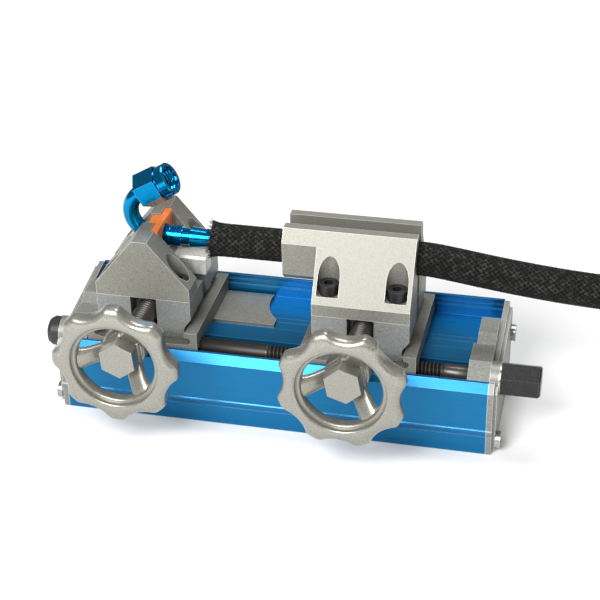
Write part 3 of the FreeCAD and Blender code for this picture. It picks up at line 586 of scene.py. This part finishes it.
def threaded_rod(name, outline, thread_range, place, direction, body):
    """Outline is (way, radius) in mm along the axis; threads cover the given range."""
    low, high = thread_range
    corners = np.array([way for way, _ in outline])
    steps = np.arange(low, high, THREAD_PITCH / ROWS_A_PITCH)
    way = np.sort(np.concatenate([corners, steps]))
    radius = np.interp(way, corners + 1e-9 * np.arange(len(corners)), [r for _, r in outline])
    angle = np.linspace(0, 2 * math.pi, THREAD_COLUMNS, endpoint=False)
    drop = thread_drop(way, angle, low, high)
    shade = np.where((way > low) & (way < high), 1, PLAIN_SHADE)
    # The crest share picks the colour: painted highlight on crests, painted shade in the roots, a fixed
    # share on plain parts.
    crest = shade[:, None] * (1 - drop / THREAD_DEEP)
    along, first, second = (np.array(axis) for axis in direction)
    ring = np.cos(angle)[:, None] * first + np.sin(angle)[:, None] * second
    grid = np.array(place) + way[:, None, None] * along + (radius[:, None] - drop)[:, :, None] * ring
    points, faces = closed_rod(grid * MM)
    return outward(mesh_piece(name, points, faces, FINISHES["thread_steel"], body, relief=crest))


# %% Hexagonal bar


def hex_bar(name, place, direction, outline, corner_turn, material, body):
    """Six flat sides: (way, size across flats) points carried round a hexagon."""
    way, flats = np.array(outline, dtype=float).T
    angle = math.radians(corner_turn) + np.arange(6) * math.pi / 3
    along, first, second = (np.array(axis) for axis in direction)
    ring = np.cos(angle)[:, None] * first + np.sin(angle)[:, None] * second
    reach = flats / math.sqrt(3)
    grid = np.array(place) + way[:, None, None] * along + reach[:, None, None] * ring
    points, faces = closed_rod(grid * MM)
    return outward(mesh_piece(name, points, faces, material, body, smooth=False))


# %% Vise screws and lead screw
ALONG_X = ((1, 0, 0), (0, 1, 0), (0, 0, 1))
ALONG_Y = ((0, 1, 0), (1, 0, 0), (0, 0, 1))
VISES = {"left": -70.3, "right": 45.4}
SCREW_HEIGHT = 56.0
VISE_SCREW = [(-62, 6), (-2.6, 6), (-2.59, 4.5), (2.59, 4.5), (2.6, 6), (27, 6), (28, 5)]
VISE_THREADS = (-54.5, 27)
for side, vise_x in VISES.items():
    rod = threaded_rod("threads_vise_" + side, VISE_SCREW, VISE_THREADS, (vise_x, 0, SCREW_HEIGHT), ALONG_Y,
                       side + "_wheel")
    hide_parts("vise_screw_" + side)

LEAD_PLACE = (0, -25.2, 39.2)
LEAD_SCREW = [(-118.4, 4.76), (118.4, 4.76)]
LEAD_THREADS = (-4.5, 89.5)
DRIVE_FLATS = 15.9
DRIVE_STEPS = [(118.4, DRIVE_FLATS), (137.6, DRIVE_FLATS), (138.5, DRIVE_FLATS - 1.8)]
lead = threaded_rod("lead_screw_rod", LEAD_SCREW, LEAD_THREADS, LEAD_PLACE, ALONG_X, "lead_screw")
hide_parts("lead_screw")
drive = hex_bar("lead_screw_drive", LEAD_PLACE, ALONG_X, DRIVE_STEPS, 90, FINISHES["black_steel"],
                "lead_screw")
print("lead screw faces", len(lead.data.polygons))

# %% [markdown]
# ## Handwheels
# Each wheel is one casting: a rim with shallow finger valleys, spokes that dish back to a
# hub, and a hexagon on the hub so that a socket can drive it. The rim is a closed section
# carried round the circle, and its outer half follows the valleys. Its front is almost flat,
# with a step down to a narrow ring round the opening.

# %% The wheel's rim
WHEEL_FRONT = -79.3
RIM_OUTER = 33.2
RIM_STILL = 23.5
RIM_SECTION = [(20.4, 6.8), (20.4, 5.4), (20.5, 4.2), (20.9, 3.1), (21.6, 2.6), (22.3, 2.7), (22.55, 2.5),
               (22.7, 1.6), (22.9, 0.8), (23.4, 0.3), (24.4, 0.05), (26.0, 0.0), (27.8, 0.1), (29.6, 0.4),
               (31.2, 1.0), (32.4, 1.9), (33.1, 3.1), (33.2, 5.0), (33.1, 6.9), (32.2, 8.4), (30.4, 9.3),
               (27.5, 9.6), (24.5, 9.5), (22.0, 8.9), (20.8, 8.0)]
VALLEY_CENTRE = 45.2
VALLEY_RADIUS = 16.0
LOBES = 8
LOBE_SOFTNESS = 0.6
WHEEL_COLUMNS = 256
SECTION_POINTS = 100


def smooth_loop(points, count):
    """A closed Catmull-Rom curve through the points."""
    ring = np.array(points, dtype=float)
    place = np.linspace(0, len(ring), count, endpoint=False)
    index = place.astype(int)
    t = (place - index)[:, None]
    p0, p1, p2, p3 = (ring[(index + k) % len(ring)] for k in (-1, 0, 1, 2))
    return 0.5 * (2 * p1 + (p2 - p0) * t + (2 * p0 - 5 * p1 + 4 * p2 - p3) * t ** 2
                  + (3 * p1 - p0 - 3 * p2 + p3) * t ** 3)


def rim_reach(angle):
    """Outer radius: the smaller of the lobe circle and the valley arc, blended softly."""
    from_valley = np.mod(angle, 2 * math.pi / LOBES) - math.pi / LOBES
    inside = np.maximum(VALLEY_RADIUS ** 2 - (VALLEY_CENTRE * np.sin(from_valley)) ** 2, 0)
    valley = VALLEY_CENTRE * np.cos(from_valley) - np.sqrt(inside)
    return -LOBE_SOFTNESS * np.log(np.exp(-valley / LOBE_SOFTNESS) + np.exp(-RIM_OUTER / LOBE_SOFTNESS))


def wheel_rim():
    """The section's outer points move with the valleys; the flat ring at the opening stays."""
    section = smooth_loop(RIM_SECTION, SECTION_POINTS)
    angle = np.linspace(0, 2 * math.pi, WHEEL_COLUMNS, endpoint=False)
    share = np.clip((section[:, 0] - RIM_STILL) / (RIM_OUTER - RIM_STILL), 0, None)
    radius = section[:, 0][:, None] + share[:, None] * (rim_reach(angle) - RIM_OUTER)[None, :]
    depth = np.broadcast_to(section[:, 1:2], radius.shape)
    return np.stack([radius * np.cos(angle), depth, radius * np.sin(angle)], axis=-1)


print("rim section points:", len(RIM_SECTION))

# %% Spokes and hub
SPOKE_OUTER = 22.6
SPOKE_INNER = 6.5
SPOKE_DEPTH = 6.2
SPOKE_DISH = 10.8
SPOKE_HALF_WIDTH = 4.5
SPOKE_HALF_DEPTH = 2.6
SPOKE_SQUARENESS = 0.45
SPOKE_CURL = 0.03


def squared(wave):
    """A cosine or sine with fuller corners: its size to a power below 1, its sign kept."""
    return np.sign(wave) * np.abs(wave) ** SPOKE_SQUARENESS


def wheel_spoke(direction):
    """A rounded bar from the rim back to the hub, wider where it meets them."""
    way = np.linspace(0, 1, 28)
    radius = SPOKE_OUTER + (SPOKE_INNER - SPOKE_OUTER) * way
    middle = SPOKE_DEPTH + SPOKE_DISH * (0.5 * way + 0.5 * (3 * way ** 2 - 2 * way ** 3))
    flare = 1 + 0.75 * np.exp(-way / 0.16) + 0.2 * np.exp(-(1 - way) / 0.2)
    angle = np.linspace(0, 2 * math.pi, 40, endpoint=False)
    across = SPOKE_HALF_WIDTH * flare[:, None] * squared(np.cos(angle))
    depth = middle[:, None] + SPOKE_HALF_DEPTH * squared(np.sin(angle))[None, :] + SPOKE_CURL * across ** 2
    radius = np.broadcast_to(radius[:, None], across.shape)
    cos, sin = math.cos(direction), math.sin(direction)
    return np.stack([radius * cos - across * sin, depth, radius * sin + across * cos], axis=-1)


def wheel_hub(profile):
    """A turned shape from (depth, radius) points."""
    depth, radius = np.array(profile, dtype=float).T
    angle = np.linspace(0, 2 * math.pi, 96, endpoint=False)
    surface = np.broadcast_to(radius[:, None], (len(radius), len(angle)))
    return np.stack([surface * np.cos(angle), np.broadcast_to(depth[:, None], surface.shape),
                     surface * np.sin(angle)], axis=-1)


def wheel_piece(name, grid, turn, vise_x, body, wrap=False):
    """Turns a wheel shape about its axis and puts it in front of its vise."""
    cos, sin = math.cos(math.radians(turn)), math.sin(math.radians(turn))
    x, depth, z = grid[..., 0], grid[..., 1], grid[..., 2]
    placed = np.stack([vise_x + x * cos - z * sin, WHEEL_FRONT + depth, SCREW_HEIGHT + x * sin + z * cos],
                      axis=-1)
    if wrap:
        rows, columns = grid.shape[:2]
        points, faces = placed.reshape(-1, 3), grid_faces(rows, columns, True)
    else:
        points, faces = closed_rod(placed)
    piece = outward(mesh_piece(name, points * MM, faces, FINISHES["wheel_castings"], body))
    return piece


# %% Build both wheels
WHEEL_TURNS = {"left": 91.5, "right": -23.0}
LOBE_TURN = 87
SPOKE_TURN = 3
HEX_FLATS = 17.5
HEX_CORNER = 64.0
HUB = [(15.8, 8.6), (16.2, 10.6), (17.2, 11.3), (18.6, 11.5), (22.6, 11.5), (23.5, 11.1), (24, 10.2)]
HEX_STEPS = [(6, HEX_FLATS - 0.5), (6.3, HEX_FLATS), (14.2, HEX_FLATS), (14.8, HEX_FLATS + 1.6),
             (19, HEX_FLATS + 2.2)]
SPOKE_DIRECTIONS = (90, 210, 330)
for side, vise_x in VISES.items():
    turn = WHEEL_TURNS[side]
    wheel = side + "_wheel"
    lobed = wheel_piece("wheel_rim_" + side, wheel_rim(), turn + LOBE_TURN, vise_x, wheel, wrap=True)
    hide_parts("handwheel_" + side)
    for number, direction in enumerate(SPOKE_DIRECTIONS, 1):
        spoke = wheel_spoke(math.radians(direction))
        wheel_piece("wheel_spoke_%s_%d" % (side, number), spoke, turn + SPOKE_TURN, vise_x, wheel)
    wheel_piece("wheel_hub_" + side, wheel_hub(HUB), turn, vise_x, wheel)
    flat_hex = hex_bar("wheel_hex_" + side, (vise_x, WHEEL_FRONT, SCREW_HEIGHT), ALONG_Y, HEX_STEPS,
                       turn + HEX_CORNER, FINISHES["wheel_castings"], wheel)
print("wheels made")

# %% [markdown]
# ## The thread inside the swivel nut
# The nut's mouth is threaded, and the turns catch the light. They are a sleeve of the nut's
# own metal just inside its bore, whose radius follows the same helix as the rods.

# %% Inner thread of the nut
NUT_THREAD_PITCH = 1.6
NUT_THREAD_DEEP = 0.7
NUT_MOUTH = 19.5
NUT_BORE = 6.7
NUT_DEEP = 9.3


def nut_sleeve(start, axis, first, second, mouth, bore, deep):
    """A ring: the outer wall hides in the nut, the inner wall carries the thread."""
    way = np.linspace(mouth - deep, mouth - 0.3, 60)
    angle = np.linspace(0, 2 * math.pi, 72, endpoint=False)
    phase = np.mod(way[:, None] / NUT_THREAD_PITCH - angle[None, :] / (2 * math.pi), 1)
    fade = np.clip((mouth - 1.0 - way) / 1.2, 0, 1)[:, None]
    inner = bore - 0.02 - NUT_THREAD_DEEP * fade * (1 - np.abs(2 * phase - 1))
    outer = np.full((1, len(angle)), bore + 0.3)
    radius = np.concatenate([inner, outer, outer])
    along = np.concatenate([way, way[-1:], way[:1]])
    ring = np.cos(angle)[:, None] * first + np.sin(angle)[:, None] * second
    grid = start + along[:, None, None] * axis + radius[:, :, None] * ring
    return grid.reshape(-1, 3), grid_faces(len(along), len(angle), True)


NUT_START = np.array([-76.45, 0, 114.37])
NUT_ANGLE = math.radians(30)
nut_axis = np.array([math.cos(NUT_ANGLE), 0, math.sin(NUT_ANGLE)])
points, faces = nut_sleeve(NUT_START, nut_axis, np.array([0, 1.0, 0]),
                           np.cross(nut_axis, [0, 1.0, 0]), NUT_MOUTH, NUT_BORE, NUT_DEEP)
nut_thread = mesh_piece("nut_inner_thread", points * MM, faces, FINISHES["fitting_blue"], "swivel_nut")
outward(nut_thread)
print("turns in the nut:", round(NUT_DEEP / NUT_THREAD_PITCH, 1))

# %% [markdown]
# ## The left jaws
# The left vise holds the fitting between two house shaped jaws. Behind their orange inserts
# a pocket opens to the right, where the hose comes in, so the front jaw is thin there and
# the polished rest on the back jaw shows. A block with slots and bores is quickest made as
# on a milling machine: start from the outline and take away cutters, each a simple prism.

# %% Prisms and Boolean cuts
AXES = {"x": 0, "y": 1, "z": 2}


def box_outline(low_a, low_b, high_a, high_b):
    """The four corners of a flat box."""
    return [(low_a, low_b), (high_a, low_b), (high_a, high_b), (low_a, high_b)]


def round_outline(a, b, radius, count=64):
    """Points round a circle; six of them make a hexagon."""
    angle = np.arange(count) * 2 * math.pi / count
    return np.stack([a + radius * np.cos(angle), b + radius * np.sin(angle)], axis=1)


def loose_object(name, mesh):
    """An object in the scene that isn't a piece yet."""
    thing = bpy.data.objects.new(name, mesh)
    bpy.context.scene.collection.objects.link(thing)
    return thing


def prism(outline, axis, low, high):
    """A flat outline pulled along an axis, as a loose object in metres."""
    ring = np.array(outline, dtype=float)
    ends = [np.insert(ring, AXES[axis], way, axis=1) for way in (low, high)]
    points, faces = closed_rod(np.stack(ends) * MM)
    mesh = bpy.data.meshes.new("blank")
    mesh.from_pydata(points.tolist(), [], [list(face) for face in faces])
    return outward(loose_object("blank", mesh))


def block_piece(name, blank, bars, cutters, material, body):
    """The blank plus every bar, minus every cutter, as a piece that rides on a body."""
    for operation, others in (("UNION", bars), ("DIFFERENCE", cutters)):
        for other in others:
            step = blank.modifiers.new("cut", "BOOLEAN")
            step.operation = operation
            step.solver = "EXACT"
            step.object = other
    depsgraph = bpy.context.evaluated_depsgraph_get()
    depsgraph.update()
    mesh = bpy.data.meshes.new_from_object(blank.evaluated_get(depsgraph))
    for thing in [blank, *bars, *cutters]:
        bpy.data.objects.remove(thing)
    mesh.name = name
    mesh.materials.clear()
    mesh.materials.append(FINISHES[material])
    piece = loose_object(name, mesh)
    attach(piece, body)
    print(name, "faces", len(mesh.polygons))
    return piece


# %% Sizes of the left jaws
JAW_PROFILE = [(-95.7, 66.5), (-44.9, 66.5), (-44.9, 73.5), (-66.15, 99.5), (-74.45, 99.5), (-95.7, 73.5)]
JAW_NEAR, JAW_FAR = 3.5, 27.5
ABOVE, BELOW = 110, 60
LEFT_OF_JAW, RIGHT_OF_JAW = -100, -40
HOSE_Z = 90.3
BORE = 5.95
THROAT_HALF = 5.9
THROAT_END = -73.5
POCKET_LEFT = -64.5
POCKET_HALF = 13.0
POCKET_FLOOR = 77.8
REST_SEAT = box_outline(-61.02, 0, RIGHT_OF_JAW, 10.02)
REST_SEAT_HEIGHTS = (67.98, 79)
INSERT_GAP = 0.1
INSERT_FLOOR = 80.9
INSERT_HEIGHTS = (81.0, 98.9)
INSERT_NEAR = 0.4
ARM = (-68.4, -64.6)
HEAD_LEFT = -72.3
HEAD_HALF = 5.0
ARM_HALF = 13.9
SCREW_X = (-88.0, -52.6)
SCREW_Y = 20.05
SEAT_HEIGHT = 71.3
print("jaw width", round(JAW_PROFILE[1][0] - JAW_PROFILE[0][0], 1), "mm")

# %% Left jaws with inserts and screws


def pocket(sign, left, right, half, floor):
    """A box cutter, open at the top, from just across the hose's plane to a half width."""
    low, high = sorted((-sign, sign * half))
    return prism(box_outline(left, low, right, high), "z", floor, ABOVE)


def left_jaw_cutters(part, sign):
    """Pocket, insert's head and arm, bore, throat, the rest's seat and screw holes."""
    floor = BELOW if part == "front" else POCKET_FLOOR
    cutters = [pocket(sign, POCKET_LEFT, RIGHT_OF_JAW, POCKET_HALF, floor),
               pocket(sign, HEAD_LEFT - INSERT_GAP, POCKET_LEFT + 1, HEAD_HALF + INSERT_GAP, INSERT_FLOOR),
               pocket(sign, ARM[0] - INSERT_GAP, ARM[1] + INSERT_GAP, ARM_HALF + INSERT_GAP, INSERT_FLOOR),
               prism(round_outline(0, HOSE_Z, BORE), "x", LEFT_OF_JAW, RIGHT_OF_JAW),
               prism(box_outline(-THROAT_HALF, HOSE_Z, THROAT_HALF, ABOVE), "x", LEFT_OF_JAW, THROAT_END)]
    if part == "back":
        cutters.append(prism(REST_SEAT, "z", *REST_SEAT_HEIGHTS))
    for x in SCREW_X:
        cutters.append(prism(round_outline(x, sign * SCREW_Y, 5.75), "z", SEAT_HEIGHT, ABOVE))
        cutters.append(prism(round_outline(x, sign * SCREW_Y, 3.1), "z", BELOW, SEAT_HEIGHT + 1))
    return cutters


def orange_insert(part, sign, body):
    """A T in two halves: a head and two arms round the fitting, bored for tube and collar."""
    half = [(HEAD_LEFT, INSERT_NEAR), (ARM[1], INSERT_NEAR), (ARM[1], ARM_HALF), (ARM[0], ARM_HALF),
            (ARM[0], HEAD_HALF), (HEAD_LEFT, HEAD_HALF)]
    outline = [(x, sign * y) for x, y in half]
    bores = [prism(round_outline(0, HOSE_Z, 4.8), "x", -80, -60),
             prism(round_outline(0, HOSE_Z, BORE), "x", -66.7, -60)]
    blank = prism(outline, "z", *INSERT_HEIGHTS)
    return block_piece("orange_insert_" + part, blank, [], bores, "insert_plastic", body)


for part, sign in (("front", -1), ("back", 1)):
    body = "left_%s_jaw" % part
    blank = prism(JAW_PROFILE, "y", *sorted((sign * JAW_NEAR, sign * JAW_FAR)))
    jaw = block_piece("left_jaw_" + part, blank, [], left_jaw_cutters(part, sign), "jaw_castings", body)
    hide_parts("jaw_left_" + part)
    insert = orange_insert(part, sign, body)
    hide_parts("insert_" + part)
    for number, x in enumerate(SCREW_X, 1):
        head = prism(round_outline(x, sign * SCREW_Y, 5.0), "z", SEAT_HEIGHT, SEAT_HEIGHT + 5)
        key = prism(round_outline(x, sign * SCREW_Y, 2.9, 6), "z", SEAT_HEIGHT + 2.5, SEAT_HEIGHT + 6)
        screw = block_piece("left_%s_screw_%d" % (part, number), head, [], [key], "black_steel", body)
        if number == 1:
            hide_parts("jaw_screws_left_" + part)

# %% [markdown]
# ## The ridges of the right jaws
# The two right jaws end in flat ridges with a slot between them. In the photograph the back
# ridge is wider and stands further back than in the solid. Each jaw is copied, merged and
# trimmed: a bar is joined on to widen its ridge, and the slot is cut wider on the back jaw.

# %% Right jaws
RIDGE_TOP = 105.4
RIDGE_ENDS = (1.5, 70.8)
SLOT_FRONT = -2.6
SLOT_BACK = 7.3
SLOT_FLOOR = 95.2
RIDGE_BACK = 12.2
BACK_BAR = [(9.2, 99.6), (RIDGE_BACK, 98.3), (RIDGE_BACK, RIDGE_TOP), (6.0, RIDGE_TOP)]
FRONT_BAR = [(-5.0, 98.2), (SLOT_FRONT, 99.4), (SLOT_FRONT, RIDGE_TOP), (-5.0, RIDGE_TOP)]
SLOT = box_outline(-1.0, SLOT_FLOOR, SLOT_BACK, RIDGE_TOP + 1)


def merged_copy(node):
    """A loose copy of a node whose loose triangles share their corners."""
    shape = bmesh.new()
    shape.from_mesh(frame["nodes"][node].data)
    bmesh.ops.remove_doubles(shape, verts=shape.verts, dist=0.001 * MM)
    mesh = bpy.data.meshes.new(node + "_copy")
    shape.to_mesh(mesh)
    shape.free()
    return loose_object(node + "_copy", mesh)


slot_cut = prism(SLOT, "x", RIDGE_ENDS[0] - 1, RIDGE_ENDS[1] + 1)
for part, bar, cutters in (("back", BACK_BAR, [slot_cut]), ("front", FRONT_BAR, [])):
    widened = prism(bar, "x", *RIDGE_ENDS)
    jaw = block_piece("right_jaw_" + part, merged_copy("jaw_right_" + part), [widened], cutters,
                      "jaw_castings", "right_%s_jaw" % part)
    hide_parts("jaw_right_" + part)

# %% [markdown]
# ## Floor and light
# The photograph is a white studio picture: a pale floor that runs into a white backdrop, and
# one strong soft lamp high in front, so that faces that lean back shine. A weaker lamp above
# and behind draws the shadow to the front, and a faint one from the right fills it.

# %% Floor
FLOOR_HALF = 3.0
FLOOR_DROP = 0.0002
FLOOR_GREY = 0.85
NEAR_GLOW = {"From Min": 0.22, "From Max": 0.7, "To Min": 0.08, "To Max": 1.0}


def backdrop_material():
    """Whiter far from the object, for the camera and reflections; near it the shadow stays."""
    material, nodes, links, shader = new_shader("backdrop", 0.0)
    for socket, value in {"Base Color": (FLOOR_GREY, FLOOR_GREY, FLOOR_GREY, 1), "Roughness": 0.9,
                          "Specular IOR Level": 0.0, "Emission Color": (1, 1, 1, 1)}.items():
        shader.inputs[socket].default_value = value
    path = add_node(nodes, "LightPath")
    sees = add_node(nodes, "Math", operation="MAXIMUM")
    place = add_node(nodes, "TexCoord")
    away = add_node(nodes, "VectorMath", operation="LENGTH")
    far = add_node(nodes, "MapRange", NEAR_GLOW)
    glow = add_node(nodes, "Math", operation="MULTIPLY")
    wire(links,
         (path, "Is Camera Ray", sees, 0), (path, "Is Glossy Ray", sees, 1), (sees, "Value", glow, 0),
         (place, "Object", away, 0), (away, "Value", far, "Value"), (far, "Result", glow, 1),
         (glow, "Value", shader, "Emission Strength"))
    return material


floor_mesh = bpy.data.meshes.new("floor")
floor_corners = [(x, y, 0) for x, y in box_outline(-FLOOR_HALF, -FLOOR_HALF, FLOOR_HALF, FLOOR_HALF)]
floor_mesh.from_pydata(floor_corners, [], [(0, 1, 2, 3)])
floor_mesh.materials.append(backdrop_material())
floor = loose_object("floor", floor_mesh)
floor.location.z = -FLOOR_DROP
print("floor is", 2 * FLOOR_HALF, "m wide")

# %% World
WORLD_LIGHT = 0.28
world = bpy.data.worlds.new("studio")
bpy.context.scene.world = world
world.use_nodes = True
nodes, links = world.node_tree.nodes, world.node_tree.links
background = nodes["Background"]
background.inputs["Color"].default_value = (1, 1, 1, 1)
path = add_node(nodes, "LightPath")
seen = add_node(nodes, "Math", operation="MAXIMUM")
level = add_node(nodes, "MapRange", {"To Min": WORLD_LIGHT, "To Max": 1.0})
wire(links,
     (path, "Is Camera Ray", seen, 0), (path, "Is Transmission Ray", seen, 1),
     (seen, "Value", level, "Value"), (level, "Result", background, "Strength"))
print("world light", WORLD_LIGHT)

# %% Lamps
LAMP_TARGET = (0, 0, 0.05)
LAMPS = {"key_lamp": ((-0.2, -0.8, 0.72), 0.5, 14), "fill_lamp": ((0.8, -0.5, 0.5), 0.5, 0.6),
         "top_lamp": ((0.05, 0.32, 1.0), 0.4, 5.5)}
for name, (place, size, power) in LAMPS.items():
    data = bpy.data.lights.new(name, "AREA")
    data.size = size
    data.energy = power
    thing = loose_object(name, data)
    thing.location = place
    aim = Vector(LAMP_TARGET) - Vector(place)
    thing.rotation_euler = aim.to_track_quat("-Z", "Y").to_euler()
bpy.context.scene.view_settings.view_transform = "Standard"
print("lamps:", len(LAMPS))
